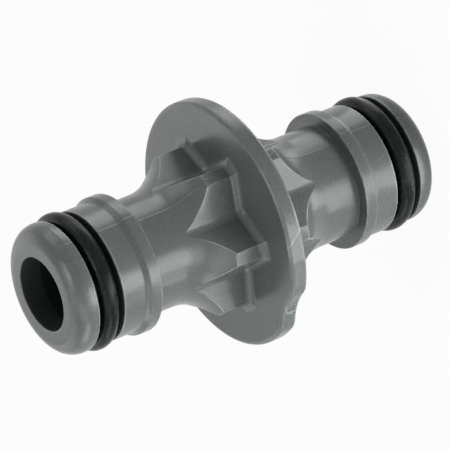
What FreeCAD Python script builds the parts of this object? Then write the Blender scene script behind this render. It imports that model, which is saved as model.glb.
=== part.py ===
import FreeCAD, Part
import math
import os

# Double-ended plug coupling for garden hose snap connectors.
# One moulded body, the same at both ends, and a sealing ring in a groove near each tip.
# The axis is Z, and the lower tip stands on Z = 0. +X is the side of the gate scoop, and
# the mould parts along the plane X = 0, so the parting line shows at +Y and -Y.
# Millimetres throughout. "from mid" is a distance along Z from the middle of the flange.

# Ends that plug into a snap connector
total_length = 51.5
nose_d = 16.0
nose_rounding = 2.15
bore_d = 9.0
bore_lip_rounding = 0.12

# Sealing ring and its groove
groove_depth = 1.8
groove_width = 3.4
groove_to_tip = 2.75
ring_section_d = 2.3
ring_squeeze = 0.07
edge_rounding = 0.12

# Plain land and retaining collar behind the groove
land_width = 3.0
collar_d = 17.0
collar_width = 1.45
collar_ramp = 0.5
neck_d = 14.0

# Ribbed flare that carries the flange
rib_count = 6
rib_outer_d = 20.0
rib_top_width = 1.66
rib_top_from_mid = 5.12
flare_radius = 6.5
pocket_root_d = 14.0
flange_fillet = 1.05
root_fillet_margin = 0.25

# Flange
flange_d = 30.3
flange_thickness = 2.25
flange_edge_rounding = 0.55

# Scoop in the flange rim where the gate was
scoop_radius = 10.0
scoop_depth = 0.85
scoop_corner_rounding = 1.5

# Sizes that follow from the ones above
half_length = total_length / 2
nose_r = nose_d / 2
bore_r = bore_d / 2
groove_r = nose_r - groove_depth
collar_r = collar_d / 2
neck_r = neck_d / 2
rib_outer_r = rib_outer_d / 2
pocket_root_r = pocket_root_d / 2
pocket_root_fillet = flange_fillet + root_fillet_margin
flange_r = flange_d / 2
flange_half = flange_thickness / 2
groove_outer_z = half_length - groove_to_tip
groove_inner_z = groove_outer_z - groove_width
collar_front_z = groove_inner_z - land_width
collar_back_z = collar_front_z - collar_ramp - collar_width


def point(radius, height):
    """A point of the section, in the plane through the axis."""
    return FreeCAD.Vector(radius, 0, height)


def line(start, end):
    """Straight edge of the section."""
    return Part.LineSegment(point(*start), point(*end)).toShape()


def round_corner(corner, radius, start_angle, end_angle):
    """Arc of the section about a centre, given by its angles in degrees and run from one to the other."""
    middle_angle = (start_angle + end_angle) / 2
    arc_points = []
    for angle in (start_angle, middle_angle, end_angle):
        turn = math.radians(angle)
        arc_points.append(point(corner[0] + radius * math.cos(turn), corner[1] + radius * math.sin(turn)))
    return Part.Arc(*arc_points).toShape()


def end_section():
    """Outline of the upper half, from inside the flange round to the bore at mid-height."""
    hub_r = rib_outer_r + flange_fillet
    small = edge_rounding
    flare_rise = rib_outer_r - neck_r
    flare_length = math.sqrt(flare_radius**2 - (flare_radius - flare_rise)**2)
    flare_neck_z = rib_top_from_mid + flare_length
    flare_end_angle = 180 + math.degrees(math.asin(flare_length / flare_radius))
    lip = bore_lip_rounding
    edges = [
        line((bore_r, 0), (hub_r, 0)),
        line((hub_r, 0), (hub_r, flange_half)),
        round_corner((hub_r, flange_half + flange_fillet), flange_fillet, 270, 180),
        line((rib_outer_r, flange_half + flange_fillet), (rib_outer_r, rib_top_from_mid)),
        round_corner((neck_r + flare_radius, flare_neck_z), flare_radius, flare_end_angle, 180),
        line((neck_r, flare_neck_z), (neck_r, collar_back_z)),
        line((neck_r, collar_back_z), (collar_r - small, collar_back_z)),
        round_corner((collar_r - small, collar_back_z + small), small, 270, 360),
        line((collar_r, collar_back_z + small), (collar_r, collar_back_z + collar_width)),
        line((collar_r, collar_back_z + collar_width), (nose_r, collar_front_z)),
        line((nose_r, collar_front_z), (nose_r, groove_inner_z - small)),
        round_corner((nose_r - small, groove_inner_z - small), small, 0, 90),
        line((nose_r - small, groove_inner_z), (groove_r, groove_inner_z)),
        line((groove_r, groove_inner_z), (groove_r, groove_outer_z)),
        line((groove_r, groove_outer_z), (nose_r - small, groove_outer_z)),
        round_corner((nose_r - small, groove_outer_z + small), small, 270, 360),
        line((nose_r, groove_outer_z + small), (nose_r, half_length - nose_rounding)),
        round_corner((nose_r - nose_rounding, half_length - nose_rounding), nose_rounding, 0, 90),
        line((nose_r - nose_rounding, half_length), (bore_r + lip, half_length)),
        round_corner((bore_r + lip, half_length - lip), lip, 90, 180),
        line((bore_r, half_length - lip), (bore_r, 0)),
    ]
    return edges


def half_blank():
    """Upper half of the body as a turned blank, before the pockets are cut."""
    face = Part.Face(Part.Wire(end_section()))
    return face.revolve(FreeCAD.Vector(0, 0, 0), FreeCAD.Vector(0, 0, 1), 360)


def pocket_cutter():
    """V-shaped cutter for one pocket on +X, rounded along its root and where it meets the flange."""
    half_pitch = math.pi / rib_count
    half_rib = math.asin(rib_top_width / 2 / rib_outer_r)
    mouth_angle = half_pitch - half_rib
    mouth = FreeCAD.Vector(rib_outer_r * math.cos(mouth_angle), rib_outer_r * math.sin(mouth_angle), 0)
    root = FreeCAD.Vector(pocket_root_r, 0, 0)
    wall = (mouth - root).normalize()
    reach = (flange_r - pocket_root_r) / wall.x
    upper = root + wall * reach
    lower = FreeCAD.Vector(upper.x, -upper.y, 0)
    base = Part.makePolygon([root, upper, lower, root])
    base.translate(FreeCAD.Vector(0, 0, flange_half))
    cutter = Part.Face(base).extrude(FreeCAD.Vector(0, 0, collar_back_z - flange_half))
    root_edges = []
    for edge in cutter.Edges:
        on_root = abs(edge.CenterOfMass.x - root.x) < 1e-6
        if on_root:
            root_edges.append(edge)
    cutter = cutter.makeFillet(pocket_root_fillet, root_edges)
    foot_edges = []
    for edge in cutter.Edges:
        centre = edge.CenterOfMass
        on_foot = abs(edge.BoundBox.ZMax - flange_half) < 1e-6
        at_mouth = abs(centre.x - upper.x) < 1e-6
        if on_foot and not at_mouth:
            foot_edges.append(edge)
    return cutter.makeFillet(flange_fillet, foot_edges)


def upper_half():
    """Upper half of the body: turned blank with a pocket between each two ribs."""
    shape = half_blank()
    cutter = pocket_cutter()
    for index in range(rib_count):
        turned = cutter.copy()
        turned.rotate(FreeCAD.Vector(0, 0, 0), FreeCAD.Vector(0, 0, 1), index * 360 / rib_count)
        shape = shape.cut(turned)
    return shape


def flange():
    """Flange disc with a round-bottomed scoop in its rim on +X, and its outline rounded on both faces."""
    disc = Part.makeCylinder(flange_r, flange_thickness)
    scoop = Part.makeCylinder(scoop_radius, flange_thickness)
    scoop.translate(FreeCAD.Vector(flange_r - scoop_depth + scoop_radius, 0, 0))
    disc = disc.cut(scoop)
    corners = []
    for edge in disc.Edges:
        if edge.BoundBox.ZLength > flange_thickness / 2:
            corners.append(edge)
    disc = disc.makeFillet(scoop_corner_rounding, corners)
    outlines = []
    for edge in disc.Edges:
        if edge.BoundBox.ZLength < flange_thickness / 2:
            outlines.append(edge)
    disc = disc.makeFillet(flange_edge_rounding, outlines)
    disc = disc.cut(Part.makeCylinder(bore_r, flange_thickness))
    disc.translate(FreeCAD.Vector(0, 0, -flange_half))
    return disc


def coupler_body():
    """Whole moulded body, standing on its lower tip."""
    upper = upper_half()
    lower = upper.mirror(FreeCAD.Vector(0, 0, 0), FreeCAD.Vector(0, 0, 1))
    body = upper.fuse([lower, flange()]).removeSplitter()
    body = Part.Solid(body.Solids[0])
    body.translate(FreeCAD.Vector(0, 0, half_length))
    return body


def o_ring():
    """Sealing ring on the groove floor, pressed flat where it bears on it, centred on Z = 0."""
    section_r = ring_section_d / 2
    centre_r = groove_r + section_r - ring_squeeze
    half_flat = math.sqrt(section_r**2 - (section_r - ring_squeeze)**2)
    outer = Part.Arc(point(groove_r, -half_flat), point(centre_r + section_r, 0), point(groove_r, half_flat))
    flat = Part.LineSegment(point(groove_r, half_flat), point(groove_r, -half_flat))
    face = Part.Face(Part.Wire([outer.toShape(), flat.toShape()]))
    return face.revolve(FreeCAD.Vector(0, 0, 0), FreeCAD.Vector(0, 0, 1), 360)


def placed_ring(side):
    """Sealing ring in the groove of the upper (side 1) or lower (side -1) end."""
    groove_middle = (groove_inner_z + groove_outer_z) / 2
    ring = o_ring()
    ring.translate(FreeCAD.Vector(0, 0, half_length + side * groove_middle))
    return ring


os.makedirs("parts", exist_ok=True)
nodes = {
    "coupler_body": coupler_body(),
    "o_ring_upper": placed_ring(1),
    "o_ring_lower": placed_ring(-1),
}
for name, shape in nodes.items():
    shape.exportStep("parts/" + name + ".step")
    print(name, shape.isValid(), len(shape.Solids), round(shape.Volume, 1), shape.BoundBox)
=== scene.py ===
import math

import bpy
import numpy as np
from mathutils import Matrix, Vector


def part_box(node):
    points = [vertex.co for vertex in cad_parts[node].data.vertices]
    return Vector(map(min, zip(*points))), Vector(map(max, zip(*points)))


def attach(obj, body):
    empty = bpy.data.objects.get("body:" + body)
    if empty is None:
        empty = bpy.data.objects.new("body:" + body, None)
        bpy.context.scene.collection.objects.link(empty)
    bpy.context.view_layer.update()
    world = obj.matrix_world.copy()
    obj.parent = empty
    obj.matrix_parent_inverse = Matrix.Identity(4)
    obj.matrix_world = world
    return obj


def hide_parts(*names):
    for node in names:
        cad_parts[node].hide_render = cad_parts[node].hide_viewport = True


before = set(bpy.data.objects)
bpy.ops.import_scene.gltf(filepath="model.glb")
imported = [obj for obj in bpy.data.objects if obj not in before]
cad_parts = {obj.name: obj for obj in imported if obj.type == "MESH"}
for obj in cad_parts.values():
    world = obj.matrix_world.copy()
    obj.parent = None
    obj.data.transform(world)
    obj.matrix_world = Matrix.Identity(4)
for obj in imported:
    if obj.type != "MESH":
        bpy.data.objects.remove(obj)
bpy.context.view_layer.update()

# Driving sizes, in millimetres and degrees. The body is the same above and below the middle of
# its flange, so "from mid" is a distance along Z from there. +X is the side of the gate scoop.
MM = 0.001
body_low, body_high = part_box("coupler_body")
HALF_LENGTH = (body_high.z - body_low.z) / 2 / MM

# Ends that plug into a snap connector
BORE_R = 4.5
BORE_LIP = 0.12
NOSE_R = 8.0
NOSE_ROUNDING = 2.15
GROOVE_R = 6.2
GROOVE_OUTER = 23.0
GROOVE_INNER = 19.6
GROOVE_MIDDLE = (GROOVE_OUTER + GROOVE_INNER) / 2
GROOVE_HALF = (GROOVE_OUTER - GROOVE_INNER) / 2
SMALL_EDGE = 0.12
COLLAR_R = 8.5
COLLAR_FRONT = 16.6
COLLAR_RAMP = 0.5
COLLAR_BACK = 14.65
COLLAR_ROOT = 0.08
NECK_R = 7.0
NECK_END = 12.5

# Ribbed flare
RIB_COUNT = 6
PITCH = 360 / RIB_COUNT
RIB_R = 10.0
RIB_TOP_WIDTH = 1.66
RIB_TOP_FROM_MID = 5.12
RIB_EDGE_ROUNDING = 0.1
FLARE_RADIUS = 6.5
FLARE_MIDDLE = 8.5
CREASE_ROUNDING = 0.13
POCKET_ROOT_R = 7.0
POCKET_ROOT_FILLET = 1.3

# Flange, and on its rim the scoop, the flat beside it, the slanting witness line with a painted highlight
# along it, and the gate
FLANGE_R = 15.15
FLANGE_HALF = 1.125
FLANGE_FILLET = 1.05
FLANGE_EDGE = 0.55
SCOOP_RADIUS = 10.0
SCOOP_DEPTH = 0.85
SCOOP_CORNER_EASE = 0.26
FLAT_FACING = 35.5
FLAT_HALF = 7.5
WITNESS_FACING = 39.8
WITNESS_SLANT = 0.9
WITNESS_HALF_WIDTH = 0.1
GATE_RADIUS = 0.7
GATE_WALL = 0.1
GATE_DEPTH = 0.17
GATE_FROM_CENTRE = -0.32

# Line where the mould parts, in millimetres high and degrees wide
PARTING_HEIGHT = 0.016
PARTING_HALF_WIDTH = 0.5

# Sealing rings
RING_SECTION_R = 1.15
RING_SQUEEZE = 0.07

# Spacing of the meshes: the gap between a rounded edge and the next row, and numbers of points
EDGE_GAP = 0.1
SMALL_ARC = 5
NOSE_ARC = 14
FLARE_ARC = 14
FILLET_ARC = 10
RIM_ARC = 8
RIM_WALL_ROWS = 8
RING_SECTION_POINTS = 48
RING_AROUND_POINTS = 240

# Colours, linear, and the roughness and gloss of each material
BODY_DARKER = (0.099, 0.114, 0.111, 1)
BODY_PALER = (0.113, 0.128, 0.125, 1)
BODY_SPECK = (0.188, 0.205, 0.200, 1)
# Pale colour painted on outer edges, along the witness line and round the gate as a highlight
BODY_EDGE_HIGHLIGHT = (0.52, 0.545, 0.54, 1)
# Darker colour painted into inner corners as shade
BODY_CORNER_SHADE = (0.073, 0.084, 0.081, 1)
# Dark colour painted inside the bore as shade
BORE_SHADE = (0.053, 0.062, 0.059, 1)
# Dark colour painted into the ring grooves as shade
GROOVE_SHADE = (0.024, 0.029, 0.028, 1)
BODY_ROUGHNESS = 0.25
BODY_ROUGHNESS_SPREAD = 0.035
BODY_GLOSS = 0.44
RUBBER_BLACK = (0.005, 0.0075, 0.007, 1)
RUBBER_RUBBED = (0.024, 0.029, 0.028, 1)
RUBBER_SPECK = (0.155, 0.162, 0.155, 1)
RUBBER_GLOSS = 0.13

# How much of the pale painted highlight shows, from 0 to 1. The collar ramp's value is a share of the
# highlight elsewhere.
FLARE_EDGE_HIGHLIGHT = 0.6
LAND_EDGE_HIGHLIGHT = 0.4
RAMP_EDGE_HIGHLIGHT = 0.2
WITNESS_HIGHLIGHT = 0.6
GATE_RIM_HIGHLIGHT = 0.4

# Sizes of the marks in the materials and depths of their bumps, in millimetres
FLOW_SIZE = 7.0
SPECK_SIZE = 0.22
HIGHLIGHT_PATCH_SIZE = 1.4
ROUGH_PATCH_SIZE = 2.2
GRAIN_SIZE = 0.16
GRAIN_DEPTH = 0.006
SCORING_SIZE = 0.22
SCORING_DEPTH = 0.03
RUBBER_STREAK_SIZE = 0.35
RUBBER_STREAK_DEPTH = 0.05
RUBBER_SMEAR_SIZE = 1.3
RUBBER_SPECK_SIZE = 0.14
RUBBER_GRAIN_SIZE = 0.12
RUBBER_GRAIN_DEPTH = 0.008


# Helpers for outlines and grids
def smooth_step(value, low, high):
    """Rises from 0 at low to 1 at high, level at both ends."""
    share = np.clip((value - low) / (high - low), 0, 1)
    return share**2 * (3 - 2 * share)


def softened_min(first, second, blend):
    """The smaller of two values, eased together where they cross."""
    ease = np.clip(1 - np.abs(first - second) / blend, 0, None)
    return np.minimum(first, second) - blend * ease**2 / 4


def arc_points(centre, radius, start, end, count):
    """Points (radius, height) of an arc about a centre, from one angle to another in degrees."""
    turns = np.radians(np.linspace(start, end, count))
    return [(centre[0] + radius * math.cos(t), centre[1] + radius * math.sin(t)) for t in turns]


def grid_row(radius, height, angles):
    """Row of the body's grid: radius, height from mid and angle in each column."""
    columns = len(angles)
    return np.stack([np.full(columns, radius), np.full(columns, height), angles], axis=-1)


def bend_along(points, axis, normals):
    """How sharply the surface bends along rows or columns, in 1/mm, above 0 on outer edges."""
    to_next = np.roll(points, -1, axis=axis) - points
    to_last = points - np.roll(points, 1, axis=axis)
    next_length = np.linalg.norm(to_next, axis=-1, keepdims=True)
    last_length = np.linalg.norm(to_last, axis=-1, keepdims=True)
    bend = 2 * (to_next / next_length - to_last / last_length) / (next_length + last_length)
    return -(bend * normals).sum(axis=-1)


def edge_share(points, normals):
    """From -1 in tight inner corners to 1 on tight outer edges, at each point of a grid."""
    bends = np.stack([bend_along(points, 0, normals), bend_along(points, 1, normals)])
    outer = smooth_step(bends.max(axis=0), 0.7, 3.0)
    inner = smooth_step(-bends.min(axis=0), 0.5, 2.5)
    return outer - inner


def grid_mesh(name, points, material):
    """Closed surface through a grid of points whose rows and columns both run round in a loop."""
    rows, columns = points.shape[:2]
    corner = np.arange(rows * columns).reshape(rows, columns)
    below = np.roll(corner, -1, axis=0)
    beside = np.roll(corner, -1, axis=1)
    across = np.roll(below, -1, axis=1)
    faces = np.stack([corner, below, across, beside], axis=-1).reshape(-1, 4)
    mesh = bpy.data.meshes.new(name)
    mesh.from_pydata((points.reshape(-1, 3) * MM).tolist(), [], faces.tolist())
    mesh.shade_smooth()
    normals = np.array([vertex.normal for vertex in mesh.vertices]).reshape(points.shape)
    edge = mesh.attributes.new("edge", "FLOAT", "POINT")
    edge.data.foreach_set("value", edge_share(points, normals).ravel())
    mesh.materials.append(material)
    piece = bpy.data.objects.new(name, mesh)
    bpy.context.scene.collection.objects.link(piece)
    return piece


# Outline across the axis: ribs and pockets
def wall_line():
    """Tilt in radians of a pocket's walls, and their distance from the axis."""
    mouth_angle = math.radians(PITCH / 2) - math.asin(RIB_TOP_WIDTH / 2 / RIB_R)
    run = RIB_R * math.cos(mouth_angle) - POCKET_ROOT_R
    tilt = math.atan2(run, RIB_R * math.sin(mouth_angle))
    return tilt, POCKET_ROOT_R * math.cos(tilt)


def rib_half_angle(offset):
    """Half the angle that a rib top takes up, with the pocket walls moved out by an offset."""
    tilt, distance = wall_line()
    reach = RIB_R + offset
    return PITCH / 2 - math.degrees(math.acos((distance + offset) / reach)) + math.degrees(tilt)


def column_angles(offset):
    """Angles round the body in degrees, close together at rib middles, rib edges and pocket roots."""
    edge = rib_half_angle(offset)
    rib_top = edge * np.array([0, 0.03, 0.07, 0.12, 0.35, 0.65, 0.86, 0.95])
    beside_edge = edge + np.array([0, 0.12, 0.3, 0.6, 1.1, 2.0])
    open_wall = np.linspace(edge + 3.6, PITCH / 2 - 5.4, 7)
    root = PITCH / 2 - np.arange(4.8, 0, -0.4)
    half = np.concatenate([rib_top, beside_edge, open_wall, root])
    pitch = np.concatenate([half, [PITCH / 2], PITCH - half[:0:-1]])
    starts = np.arange(RIB_COUNT) * PITCH + PITCH / 2
    return np.concatenate([start + pitch for start in starts])


def pocket_radius(angles, offset):
    """Distance from the axis to a pocket's wall or root along each angle, in degrees."""
    tilt, distance = wall_line()
    half_pitch = math.radians(PITCH / 2)
    from_root = np.abs((np.radians(angles) + half_pitch) % (2 * half_pitch) - half_pitch)
    wall = (distance + offset) / np.cos(from_root + tilt)
    fillet = POCKET_ROOT_FILLET - offset
    centre = (distance + POCKET_ROOT_FILLET) / math.cos(tilt)
    fillet_end = math.atan2(fillet * math.sin(tilt), centre - fillet * math.cos(tilt))
    inside = np.clip(fillet**2 - (centre * np.sin(from_root))**2, 0, None)
    root = centre * np.cos(from_root) - np.sqrt(inside)
    return np.where(from_root < fillet_end, root, wall)


def ribbed_radius(angles, offset):
    """Outline of ribs and pockets across the axis, with the walls moved out by an offset."""
    return softened_min(RIB_R + offset, pocket_radius(angles, offset), RIB_EDGE_ROUNDING)


# Outline of the flange's rim
def rim_radius(angles):
    """Radius of the flange rim, with the gate scoop on +X."""
    turn = np.radians(angles)
    centre = FLANGE_R - SCOOP_DEPTH + SCOOP_RADIUS
    inside = SCOOP_RADIUS**2 - (centre * np.sin(turn))**2
    scoop = centre * np.cos(turn) - np.sqrt(np.clip(inside, 0, None))
    scooped = (inside > 0) & (np.cos(turn) > 0)
    return softened_min(FLANGE_R, np.where(scooped, scoop, FLANGE_R + 1), SCOOP_CORNER_EASE)


def rim_relief(angles):
    """Change of the rim's radius at the flat beside the scoop."""
    from_facing = (angles - FLAT_FACING + 180) % 360 - 180
    flat = FLANGE_R * math.cos(math.radians(FLAT_HALF)) / np.cos(np.radians(from_facing))
    return np.where(np.abs(from_facing) < FLAT_HALF, flat - FLANGE_R, 0)


def rim_point(angles):
    """Points of the rim's outline as complex numbers."""
    return rim_radius(angles) * np.exp(1j * np.radians(angles))


def inset_rim(angles, inset):
    """Radius and angle in degrees of the rim's outline, moved inwards square to itself."""
    step = 0.01
    along = rim_point(angles + step) - rim_point(angles - step)
    outward = -1j * along / np.abs(along)
    moved = rim_point(angles) - inset * outward
    return np.abs(moved), angles + np.degrees(np.angle(moved / np.exp(1j * np.radians(angles))))


# Rows of the upper half, in order from the middle of the bore round to the rim
def end_outline():
    """Turned outline (radius, height from mid) from inside the bore over the tip to the neck."""
    small = SMALL_EDGE
    face_r = NOSE_R - NOSE_ROUNDING
    groove_lip = NOSE_R - small - EDGE_GAP
    ramp_end = COLLAR_FRONT - COLLAR_RAMP
    outer_root = (GROOVE_R + small, GROOVE_OUTER - small)
    inner_root = (GROOVE_R + small, GROOVE_INNER + small)
    points = [(BORE_R, height) for height in np.linspace(2, HALF_LENGTH - BORE_LIP - EDGE_GAP, 5)]
    points += arc_points((BORE_R + BORE_LIP, HALF_LENGTH - BORE_LIP), BORE_LIP, 180, 90, SMALL_ARC)
    points += [(BORE_R + BORE_LIP + EDGE_GAP, HALF_LENGTH), (face_r - 0.4, HALF_LENGTH)]
    points += arc_points((face_r, HALF_LENGTH - NOSE_ROUNDING), NOSE_ROUNDING, 90, 0, NOSE_ARC)
    points += [(NOSE_R, GROOVE_OUTER + small + EDGE_GAP)]
    points += arc_points((NOSE_R - small, GROOVE_OUTER + small), small, 0, -90, SMALL_ARC)
    points += [(groove_lip, GROOVE_OUTER)]
    points += arc_points(outer_root, small, 90, 180, 4)
    points += arc_points(inner_root, small, 180, 270, 4)
    points += [(groove_lip, GROOVE_INNER)]
    points += arc_points((NOSE_R - small, GROOVE_INNER - small), small, 90, 0, SMALL_ARC)
    points += [(NOSE_R, GROOVE_INNER - small - EDGE_GAP), (NOSE_R, COLLAR_FRONT + 0.25)]
    points += [(NOSE_R, COLLAR_FRONT + 0.08), (NOSE_R + 0.03, COLLAR_FRONT - 0.03)]
    points += [(COLLAR_R - 0.06, ramp_end + 0.06), (COLLAR_R - 0.01, ramp_end - 0.02)]
    points += [(COLLAR_R, ramp_end - 0.1), (COLLAR_R, COLLAR_BACK + small + EDGE_GAP)]
    points += arc_points((COLLAR_R - small, COLLAR_BACK + small), small, 0, -90, SMALL_ARC)
    points += [(COLLAR_R - small - EDGE_GAP, COLLAR_BACK)]
    points += arc_points((NECK_R + COLLAR_ROOT, COLLAR_BACK - COLLAR_ROOT), COLLAR_ROOT, 90, 180, 6)
    points += [(NECK_R, COLLAR_BACK - COLLAR_ROOT - 0.2), (NECK_R, NECK_END)]
    return points


def flare_outlines(angles):
    """Outlines down the flare, over the crease and down the pocket walls to the flange's fillet."""
    outline = ribbed_radius(angles, 0)
    flare_length = math.sqrt(FLARE_RADIUS**2 - (FLARE_RADIUS - RIB_R + NECK_R)**2)
    flare_start = RIB_TOP_FROM_MID + flare_length
    crease_turn = np.arccos(1 - (outline - NECK_R) / FLARE_RADIUS)
    crease = np.stack([outline, flare_start - FLARE_RADIUS * np.sin(crease_turn)], axis=-1)
    arc_end_turn = crease_turn - CREASE_ROUNDING / FLARE_RADIUS
    outlines = []
    for share in np.linspace(0, 1, FLARE_ARC):
        turn = arc_end_turn * share
        radius = NECK_R + FLARE_RADIUS * (1 - np.cos(turn))
        outlines.append(np.stack([radius, flare_start - FLARE_RADIUS * np.sin(turn)], axis=-1))
    arc_end = outlines[-1]
    wall_start = crease - [0, CREASE_ROUNDING]
    for t in (0.25, 0.5, 0.75):
        outlines.append((1 - t)**2 * arc_end + 2 * t * (1 - t) * crease + t**2 * wall_start)
    foot = FLANGE_HALF + FLANGE_FILLET
    for share in np.linspace(0, 1, 6):
        height = wall_start[:, 1] * (1 - share) + foot * share
        outlines.append(np.stack([outline, height], axis=-1))
    return outlines


def fillet_rows():
    """Rows of the fillet between the ribs' feet and the flange's face."""
    rows = []
    for turn in np.radians(np.linspace(0, 90, FILLET_ARC))[1:]:
        offset = FLANGE_FILLET * (1 - math.cos(turn))
        height = FLANGE_HALF + FLANGE_FILLET * (1 - math.sin(turn))
        angles = column_angles(offset)
        rows.append(grid_row(ribbed_radius(angles, offset), height, angles))
    return rows


def rim_rows(angles):
    """Rows over the rim's rounding and down its wall to the middle of the flange."""
    rows = []
    for turn in np.radians(np.linspace(90, 0, RIM_ARC)):
        radius, turned = inset_rim(angles, FLANGE_EDGE * (1 - math.cos(turn)))
        radius += rim_relief(angles) * math.cos(turn)
        rows.append(grid_row(radius, FLANGE_HALF - FLANGE_EDGE * (1 - math.sin(turn)), turned))
    for height in np.linspace(FLANGE_HALF - FLANGE_EDGE, 0, RIM_WALL_ROWS, endpoint=False)[1:]:
        rows.append(grid_row(rim_radius(angles) + rim_relief(angles), height, angles))
    return rows


def with_gate_mark(row):
    """Sinks the round mark of the gate into the scoop's floor."""
    across = row[:, 0] * np.sin(np.radians(row[:, 2])) - GATE_FROM_CENTRE
    on_gate_side = np.cos(np.radians(row[:, 2])) > 0
    distance = np.hypot(across, row[:, 1])
    sunk = GATE_DEPTH * (1 - smooth_step(distance, GATE_RADIUS - GATE_WALL, GATE_RADIUS))
    marked = row.copy()
    marked[:, 0] -= np.where(on_gate_side, sunk, 0)
    return marked


def with_parting_ridge(grid):
    """Raises the fine line that the mould leaves at +Y and -Y, outside the bore."""
    radius, height, angles = grid[..., 0], grid[..., 1], grid[..., 2]
    from_line = np.abs((angles + 180) % 180 - 90)
    ridge = np.clip(1 - (from_line / PARTING_HALF_WIDTH)**2, 0, None) * PARTING_HEIGHT
    outside = (radius > NECK_R - 0.01) & (height < HALF_LENGTH - 0.01) & (height > FLANGE_HALF + 1)
    raised = grid.copy()
    raised[..., 0] = radius + np.where(outside, ridge, 0)
    return raised


def half_body_grid():
    """Grid (radius, height from mid, angle) over the upper half, from the bore round to the rim."""
    angles = column_angles(0)
    rows = [grid_row(radius, height, angles) for radius, height in end_outline()]
    rows += [np.column_stack([outline, angles]) for outline in flare_outlines(angles)]
    rows += fillet_rows()
    face_start = rows[-1]
    rim = rim_rows(angles)
    for share in (0.1, 0.3, 0.55, 0.8, 0.95):
        rows.append(face_start * (1 - share) + rim[0] * share)
    rows += [with_gate_mark(row) for row in rim]
    return np.array(rows)


# Pieces
def make_body(material):
    """The whole moulding as one closed surface."""
    upper = with_parting_ridge(half_body_grid())
    lower = upper[::-1].copy()
    lower[..., 1] *= -1
    grid = np.concatenate([upper, lower])
    turn = np.radians(grid[..., 2])
    x = grid[..., 0] * np.cos(turn)
    y = grid[..., 0] * np.sin(turn)
    z = grid[..., 1] + HALF_LENGTH
    body = grid_mesh("coupler_moulding", np.stack([x, y, z], axis=-1), material)
    weighted = body.modifiers.new("weighted_normals", "WEIGHTED_NORMAL")
    weighted.keep_sharp = False
    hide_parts("coupler_body")
    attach(body, "root")


def make_ring(name, node, side, material):
    """Sealing ring seated on its groove floor, pressed flat where it bears on it."""
    centre_r = GROOVE_R + RING_SECTION_R - RING_SQUEEZE
    section = np.radians(np.linspace(0, 360, RING_SECTION_POINTS, endpoint=False))
    around = np.radians(np.linspace(0, 360, RING_AROUND_POINTS, endpoint=False))
    turn, angle = np.meshgrid(around, section)
    radius = np.maximum(centre_r + RING_SECTION_R * np.cos(angle), GROOVE_R)
    height = HALF_LENGTH + side * GROOVE_MIDDLE + RING_SECTION_R * np.sin(angle)
    points = np.stack([radius * np.cos(turn), radius * np.sin(turn), height], axis=-1)
    ring = grid_mesh(name, points[:, ::-1], material)
    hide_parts(node)
    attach(ring, "root")


# Node helpers
def new_material(name):
    """A node material with its tree and its Principled shader."""
    material = bpy.data.materials.new(name)
    material.use_nodes = True
    tree = material.node_tree
    shader = tree.nodes["Principled BSDF"]
    return material, tree, shader


def add_node(tree, kind, inputs, **settings):
    """A node with its settings, and its inputs set to values or linked to other nodes' outputs."""
    node = tree.nodes.new(kind)
    for name, value in settings.items():
        setattr(node, name, value)
    for name, value in inputs.items():
        if isinstance(value, bpy.types.NodeSocket):
            tree.links.new(value, node.inputs[name])
        else:
            node.inputs[name].default_value = value
    return node


def math_node(tree, operation, first, second=0.0):
    """Result of a sum on one or two values."""
    return add_node(tree, "ShaderNodeMath", {0: first, 1: second}, operation=operation).outputs[0]


def away_from(tree, value, centre):
    """Distance of a value from a centre, never below 0."""
    return math_node(tree, "ABSOLUTE", math_node(tree, "SUBTRACT", value, centre))


def length_of(tree, vector):
    """Length of a vector."""
    return add_node(tree, "ShaderNodeVectorMath", {0: vector}, operation="LENGTH").outputs["Value"]


def combined(tree, **parts):
    """Vector made of parts along X, Y and Z."""
    return add_node(tree, "ShaderNodeCombineXYZ", parts).outputs[0]


def place_in_mm(tree):
    """Place on the part in millimetres."""
    coordinates = add_node(tree, "ShaderNodeTexCoord", {})
    inputs = {0: coordinates.outputs["Object"], "Scale": 1 / MM}
    return add_node(tree, "ShaderNodeVectorMath", inputs, operation="SCALE").outputs[0]


def noise(tree, place, size, detail=2.0, roughness=0.5):
    """Noise from 0 to 1 with features of a size in millimetres."""
    inputs = {"Vector": place, "Scale": 1 / size, "Detail": detail, "Roughness": roughness}
    return add_node(tree, "ShaderNodeTexNoise", inputs).outputs["Fac"]


def spread(tree, value, low, high, to_low, to_high):
    """Value stretched smoothly from one range to another."""
    inputs = {"Value": value, "From Min": low, "From Max": high, "To Min": to_low, "To Max": to_high}
    node = add_node(tree, "ShaderNodeMapRange", inputs, interpolation_type="SMOOTHSTEP")
    return node.outputs["Result"]


def mixed(tree, share, first, second):
    """Two colours mixed by a share from 0 to 1."""
    return add_node(tree, "ShaderNodeMix", {0: share, 6: first, 7: second}, data_type="RGBA").outputs[2]


def bumped(tree, height, distance, strength, under=None):
    """Normal bent by a height, with a depth in millimetres, over the normal of an earlier bump."""
    inputs = {"Height": height, "Distance": distance * MM, "Strength": strength}
    if under is not None:
        inputs["Normal"] = under
    return add_node(tree, "ShaderNodeBump", inputs).outputs["Normal"]


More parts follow.
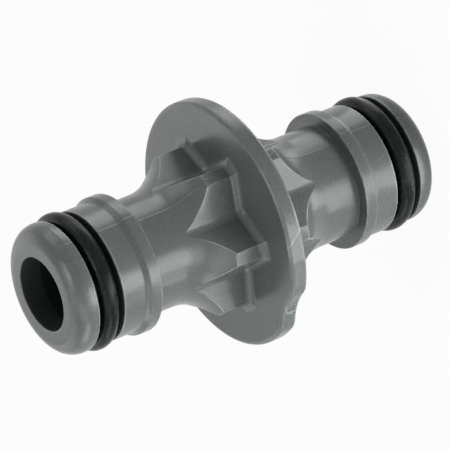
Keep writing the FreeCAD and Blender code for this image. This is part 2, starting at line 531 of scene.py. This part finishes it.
# Body's material
def edge_highlight_share(tree, place, x, from_mid, edge):
    """Painted highlight on outer edges: patchy, most on the flare's creases, little on the collar's ramp.
    """
    from_flare = away_from(tree, from_mid, FLARE_MIDDLE)
    from_land_edge = away_from(tree, from_mid, GROOVE_INNER)
    from_ramp = away_from(tree, from_mid, COLLAR_FRONT - COLLAR_RAMP)
    from_parting = math_node(tree, "ABSOLUTE", x)
    patches = noise(tree, place, HIGHLIGHT_PATCH_SIZE, detail=4.0, roughness=0.65)
    patchy = spread(tree, patches, 0.3, 0.62, 0.06, 0.28)
    on_flare = spread(tree, from_flare, 3.2, 3.5, FLARE_EDGE_HIGHLIGHT, 0.0)
    on_land_edge = spread(tree, from_land_edge, 0.2, 0.3, LAND_EDGE_HIGHLIGHT, 0.0)
    off_ramp = spread(tree, from_ramp, 0.3, 0.5, RAMP_EDGE_HIGHLIGHT, 1.0)
    off_parting = spread(tree, from_parting, 0.08, 0.16, 0.0, 1.0)
    highlight = math_node(tree, "MAXIMUM", patchy, on_flare)
    highlight = math_node(tree, "MAXIMUM", highlight, on_land_edge)
    highlight = math_node(tree, "MULTIPLY", highlight, off_ramp)
    highlight = math_node(tree, "MULTIPLY", highlight, off_parting)
    return math_node(tree, "MULTIPLY", highlight, spread(tree, edge, 0.2, 0.9, 0.0, 1.0))


def witness_highlight_share(tree, along, height, radius):
    """Painted highlight along the witness line that slants across the rim, by the way along the rim and the
    height from mid.
    """
    slanted = math_node(tree, "ADD", along, math_node(tree, "MULTIPLY", height, WITNESS_SLANT))
    beside = away_from(tree, slanted, math.radians(WITNESS_FACING) * FLANGE_R)
    line = spread(tree, beside, 0.0, WITNESS_HALF_WIDTH, WITNESS_HIGHLIGHT, 0.0)
    on_rim = spread(tree, radius, FLANGE_R - 0.6, FLANGE_R - 0.4, 0.0, 1.0)
    return math_node(tree, "MULTIPLY", line, on_rim)


def gate_rim_highlight_share(tree, x, y, height):
    """Painted highlight on the edge round the mark of the gate."""
    across = math_node(tree, "SUBTRACT", y, GATE_FROM_CENTRE)
    from_centre = length_of(tree, combined(tree, X=across, Y=height))
    from_rim = away_from(tree, from_centre, GATE_RADIUS)
    rim = spread(tree, from_rim, 0.02, GATE_WALL, GATE_RIM_HIGHLIGHT, 0.0)
    in_scoop = spread(tree, x, 12.0, 13.0, 0.0, 1.0)
    return math_node(tree, "MULTIPLY", rim, in_scoop)


def groove_shade_share(tree, from_mid, radius):
    """Painted shade in the ring groove below its lips."""
    from_groove = away_from(tree, from_mid, GROOVE_MIDDLE)
    between_walls = spread(tree, from_groove, GROOVE_HALF - 0.02, GROOVE_HALF + 0.04, 1.0, 0.0)
    below_lips = spread(tree, radius, NOSE_R - 0.5, NOSE_R - 0.15, 1.0, 0.0)
    return math_node(tree, "MULTIPLY", between_walls, below_lips)


def body_plastic():
    """Satin grey moulded plastic, mottled and finely grained, with a pale painted highlight on its outer
    edges and painted shade in its inner corners, bore and groove.
    """
    material, tree, shader = new_material("body_plastic_look")
    shader.inputs["Specular IOR Level"].default_value = BODY_GLOSS
    place = place_in_mm(tree)
    x, y, z = add_node(tree, "ShaderNodeSeparateXYZ", {0: place}).outputs
    radius = length_of(tree, combined(tree, X=x, Y=y))
    turn = math_node(tree, "ARCTAN2", y, x)
    along = math_node(tree, "MULTIPLY", turn, FLANGE_R)
    height = math_node(tree, "SUBTRACT", z, HALF_LENGTH)
    from_mid = math_node(tree, "ABSOLUTE", height)
    edge = add_node(tree, "ShaderNodeAttribute", {}, attribute_name="edge").outputs["Fac"]

    # Colour: mottling from the melt's flow and specks, then a pale painted highlight on outer edges, the
    # witness line and the gate's rim, then painted shade in inner corners, the bore and the groove
    flow = noise(tree, place, FLOW_SIZE, detail=3.0, roughness=0.6)
    specks = spread(tree, noise(tree, place, SPECK_SIZE), 0.35, 0.7, 0.0, 0.3)
    # Painted shade in tight inner corners
    corner_shade = spread(tree, edge, -0.3, -1.0, 0.0, 0.45)
    # Painted shade inside the bore
    bore_shade = spread(tree, radius, BORE_R + 0.02, BORE_R + 0.14, 1.0, 0.0)
    colour = mixed(tree, spread(tree, flow, 0.3, 0.7, 0.0, 1.0), BODY_DARKER, BODY_PALER)
    colour = mixed(tree, specks, colour, BODY_SPECK)
    # Painted highlight on outer edges
    colour = mixed(tree, edge_highlight_share(tree, place, x, from_mid, edge), colour, BODY_EDGE_HIGHLIGHT)
    # Painted highlight along the real witness line
    colour = mixed(tree, witness_highlight_share(tree, along, height, radius), colour, BODY_EDGE_HIGHLIGHT)
    # Painted highlight round the gate mark
    colour = mixed(tree, gate_rim_highlight_share(tree, x, y, height), colour, BODY_EDGE_HIGHLIGHT)
    colour = mixed(tree, corner_shade, colour, BODY_CORNER_SHADE)
    colour = mixed(tree, bore_shade, colour, BORE_SHADE)
    # Painted shade in the ring groove
    colour = mixed(tree, groove_shade_share(tree, from_mid, radius), colour, GROOVE_SHADE)
    tree.links.new(colour, shader.inputs["Base Color"])

    # Roughness: satin, with patches that are a little smoother or duller
    patches = noise(tree, place, ROUGH_PATCH_SIZE, detail=4.0, roughness=0.65)
    smoothest = BODY_ROUGHNESS - BODY_ROUGHNESS_SPREAD
    dullest = BODY_ROUGHNESS + BODY_ROUGHNESS_SPREAD
    rough = spread(tree, patches, 0.3, 0.7, smoothest, dullest)
    tree.links.new(rough, shader.inputs["Roughness"])

    # Bumps: fine grain all over, and scoring along the axis on the rim, but not round the scoop
    grain = noise(tree, place, GRAIN_SIZE, detail=3.0, roughness=0.6)
    drawn_out = combined(tree, X=along, Y=math_node(tree, "MULTIPLY", z, 0.12))
    scoring = noise(tree, drawn_out, SCORING_SIZE, detail=3.0, roughness=0.7)
    on_rim = spread(tree, radius, FLANGE_R - 0.25, FLANGE_R - 0.05, 0.0, 1.0)
    from_scoop = math_node(tree, "ABSOLUTE", turn)
    off_scoop = spread(tree, from_scoop, math.radians(37.0), math.radians(38.5), 0.0, 1.0)
    scored = math_node(tree, "MULTIPLY", on_rim, off_scoop)
    scoring = math_node(tree, "MULTIPLY", scoring, scored)
    normal = bumped(tree, grain, GRAIN_DEPTH, 0.5)
    normal = bumped(tree, scoring, SCORING_DEPTH, 0.6, normal)
    tree.links.new(normal, shader.inputs["Normal"])
    return material


# Rings' material
def ring_rubber():
    """Black rubber with a film of grease, rubbed in streaks round the ring, with a few pale specks."""
    material, tree, shader = new_material("ring_rubber_look")
    shader.inputs["Specular IOR Level"].default_value = RUBBER_GLOSS
    place = place_in_mm(tree)
    x, y, z = add_node(tree, "ShaderNodeSeparateXYZ", {0: place}).outputs
    turn = math_node(tree, "ARCTAN2", y, x)
    unrolled = combined(tree, X=math_node(tree, "MULTIPLY", turn, 1.6), Y=z, Z=x)
    streaks = noise(tree, unrolled, RUBBER_STREAK_SIZE, detail=4.0, roughness=0.65)
    smears = noise(tree, place, RUBBER_SMEAR_SIZE, detail=4.0, roughness=0.7)
    specks = noise(tree, place, RUBBER_SPECK_SIZE, detail=1.0)
    grain = noise(tree, place, RUBBER_GRAIN_SIZE, detail=3.0)
    colour = mixed(tree, spread(tree, streaks, 0.45, 0.8, 0.0, 1.0), RUBBER_BLACK, RUBBER_RUBBED)
    colour = mixed(tree, spread(tree, specks, 0.74, 0.8, 0.0, 1.0), colour, RUBBER_SPECK)
    rough = spread(tree, smears, 0.3, 0.75, 0.17, 0.36)
    normal = bumped(tree, grain, RUBBER_GRAIN_DEPTH, 0.5)
    normal = bumped(tree, streaks, RUBBER_STREAK_DEPTH, 0.5, normal)
    tree.links.new(colour, shader.inputs["Base Color"])
    tree.links.new(rough, shader.inputs["Roughness"])
    tree.links.new(normal, shader.inputs["Normal"])
    return material


make_body(body_plastic())
rubber = ring_rubber()
make_ring("upper_seal", "o_ring_upper", 1, rubber)
make_ring("lower_seal", "o_ring_lower", -1, rubber)

# Camera: solved from the photograph's circles, and rolled because the part lies slanted there.
# The aim is in metres.
CAMERA_LENS = 348.1
CAMERA_DISTANCE = 0.5118
CAMERA_AZIMUTH = 58.27
CAMERA_ELEVATION = 28.74
CAMERA_ROLL = -111.76
CAMERA_AIM = Vector((0.00032, -0.000238, 0.025812))


def direction(azimuth, elevation=0.0):
    """Unit vector outwards, at an azimuth and an elevation in degrees."""
    turn = math.radians(azimuth)
    lift = math.radians(elevation)
    return Vector((math.cos(lift) * math.cos(turn), math.cos(lift) * math.sin(turn), math.sin(lift)))


def aim_matrix(azimuth, elevation, roll, distance, target):
    """Place and turn of a camera that looks at a point from a direction, rolled about its view."""
    back = direction(azimuth, elevation)
    spin = Matrix.Rotation(math.radians(roll), 3, back)
    right = spin @ direction(azimuth + 90)
    up = back.cross(right)
    place = Matrix((right, up, back)).transposed().to_4x4()
    place.translation = target + distance * back
    return place


camera_data = bpy.data.cameras.new("camera")
camera_data.lens = CAMERA_LENS
camera_data.sensor_width = 36
camera_data.clip_start = 0.05
camera_data.clip_end = 20
camera = bpy.data.objects.new("camera", camera_data)
camera.matrix_world = aim_matrix(CAMERA_AZIMUTH, CAMERA_ELEVATION, CAMERA_ROLL, CAMERA_DISTANCE, CAMERA_AIM)
bpy.context.scene.collection.objects.link(camera)
bpy.context.scene.camera = camera


def seen_share(tree):
    """1 for what the camera sees, itself or in a reflection, and 0 for light that falls on things."""
    ray = add_node(tree, "ShaderNodeLightPath", {}).outputs
    seen = math_node(tree, "MAXIMUM", ray["Is Camera Ray"], ray["Is Glossy Ray"])
    return math_node(tree, "MAXIMUM", seen, ray["Is Transmission Ray"])


# Floor: pale and matt, seen as white by the camera and in reflections, with the part's soft shadow.
# It lies just under the part, and the spot that the part stands on and shades isn't shown as white.
FLOOR_REACH = 3.0
FLOOR_DROP = 0.00003
FLOOR_COLOUR = (0.7, 0.7, 0.7, 1)
SEEN_WHITE = 0.95
floor_mesh = bpy.data.meshes.new("floor")
floor_corners = [
    (-FLOOR_REACH, -FLOOR_REACH, -FLOOR_DROP),
    (FLOOR_REACH, -FLOOR_REACH, -FLOOR_DROP),
    (FLOOR_REACH, FLOOR_REACH, -FLOOR_DROP),
    (-FLOOR_REACH, FLOOR_REACH, -FLOOR_DROP),
]
floor_mesh.from_pydata(floor_corners, [], [(0, 1, 2, 3)])
floor = bpy.data.objects.new("floor", floor_mesh)
floor_material, floor_tree, floor_shader = new_material("floor_look")
floor_shader.inputs["Base Color"].default_value = FLOOR_COLOUR
floor_shader.inputs["Roughness"].default_value = 1.0
floor_shader.inputs["Specular IOR Level"].default_value = 0.0
white = add_node(floor_tree, "ShaderNodeEmission", {"Strength": 1.0}).outputs[0]
from_axis = length_of(floor_tree, place_in_mm(floor_tree))
open_floor = spread(floor_tree, from_axis, BORE_R + BORE_LIP, NOSE_R - NOSE_ROUNDING, 0.0, SEEN_WHITE)
share = math_node(floor_tree, "MULTIPLY", seen_share(floor_tree), open_floor)
shown = add_node(floor_tree, "ShaderNodeMixShader", {0: share, 1: floor_shader.outputs[0], 2: white})
floor_tree.links.new(shown.outputs[0], floor_tree.nodes["Material Output"].inputs["Surface"])
floor_mesh.materials.append(floor_material)
bpy.context.scene.collection.objects.link(floor)

# Lamps, in metres and degrees: brightness is that of the lamp's face, where 1 shows as white
UP = Vector((0, 0, 1))
PART_MIDDLE = UP * HALF_LENGTH * MM
ABOVE_FLOOR = UP * 0.001
STRIP_DISTANCE = 0.2
STRIP_STEPS = (0.0092, 0.024, 0.065, 0.12, 0.2)
KICKER_DISTANCE = 0.071
SOFT_BOX_DISTANCE = 0.4


def add_lamp(name, place, facing, width, height, brightness):
    """Rectangular soft lamp that faces along a direction, its height in line with Z where it can be."""
    back = -facing.normalized()
    side = UP.cross(back)
    if side.length < 0.001:
        side = UP.cross(place)
    side.normalize()
    data = bpy.data.lights.new(name, "AREA")
    data.shape = "RECTANGLE"
    data.size = width
    data.size_y = height
    data.energy = brightness * math.pi * width * height
    lamp = bpy.data.objects.new(name, data)
    lamp.matrix_world = Matrix((side, back.cross(side), back)).transposed().to_4x4()
    lamp.matrix_world.translation = place
    lamp.visible_camera = False
    bpy.context.scene.collection.objects.link(lamp)


def add_strip(name, azimuth, aside, spread_angle, wall, wall_brightness, floor_brightnesses):
    """Strip lamp beside the part, standing up between two heights and carried on over the floor."""
    out = direction(azimuth)
    shift = direction(azimuth + 90) * aside
    widening = 2 * math.tan(math.radians(spread_angle / 2))
    low, high = wall
    place = shift + out * STRIP_DISTANCE + UP * (low + high) / 2
    add_lamp(name + "_wall", place, -out, STRIP_DISTANCE * widening, high - low, wall_brightness)
    for index, brightness in enumerate(floor_brightnesses):
        inner, outer = STRIP_STEPS[index:index + 2]
        middle = (inner + outer) / 2
        place = shift + out * middle + ABOVE_FLOOR
        add_lamp(f"{name}_floor_{index}", place, UP, middle * widening, outer - inner, brightness)


def add_soft_box(name, azimuth, elevation, width, height, brightness):
    """Soft lamp that looks at the middle of the part from a direction."""
    out = direction(azimuth, elevation)
    add_lamp(name, PART_MIDDLE + out * SOFT_BOX_DISTANCE, -out, width, height, brightness)


add_strip("left_strip", 148, -0.0045, 29, (0.03, 0.18), 1.6, (2.0, 2.3, 2.8, 4.0))
add_strip("right_strip", 22, 0.003, 28, (0.0, 0.09), 2.5, (3.8, 4.7, 5.9, 7.0))
add_lamp("low_kicker", direction(-7) * KICKER_DISTANCE + ABOVE_FLOOR, UP, 0.026, 0.018, 5.4)
add_soft_box("top", 90, 72, 0.15, 0.15, 4.1)
add_soft_box("overhead", -60, 82, 0.25, 0.25, 1.15)
add_soft_box("right_fill", -5, 42, 0.2, 0.3, 1.45)
add_soft_box("right_low_fill", -38, 14, 0.28, 0.15, 2.55)
add_soft_box("side_fill", -95, 40, 0.2, 0.3, 0.7)
add_soft_box("back", 215, 30, 0.3, 0.2, 0.7)

# World: faint light from all round, seen as white by the camera and in reflections
AMBIENT = 0.015
world = bpy.data.worlds.new("studio")
world.use_nodes = True
bpy.context.scene.world = world
world_tree = world.node_tree
ambient = world_tree.nodes["Background"]
ambient.inputs["Color"].default_value = (1, 1, 1, 1)
ambient.inputs["Strength"].default_value = AMBIENT
backdrop = add_node(world_tree, "ShaderNodeBackground", {"Color": (1, 1, 1, 1), "Strength": 1.0})
layers = {0: seen_share(world_tree), 1: ambient.outputs[0], 2: backdrop.outputs[0]}
shown = add_node(world_tree, "ShaderNodeMixShader", layers)
world_tree.links.new(shown.outputs[0], world_tree.nodes["World Output"].inputs["Surface"])

bpy.context.scene.view_settings.view_transform = "Standard"
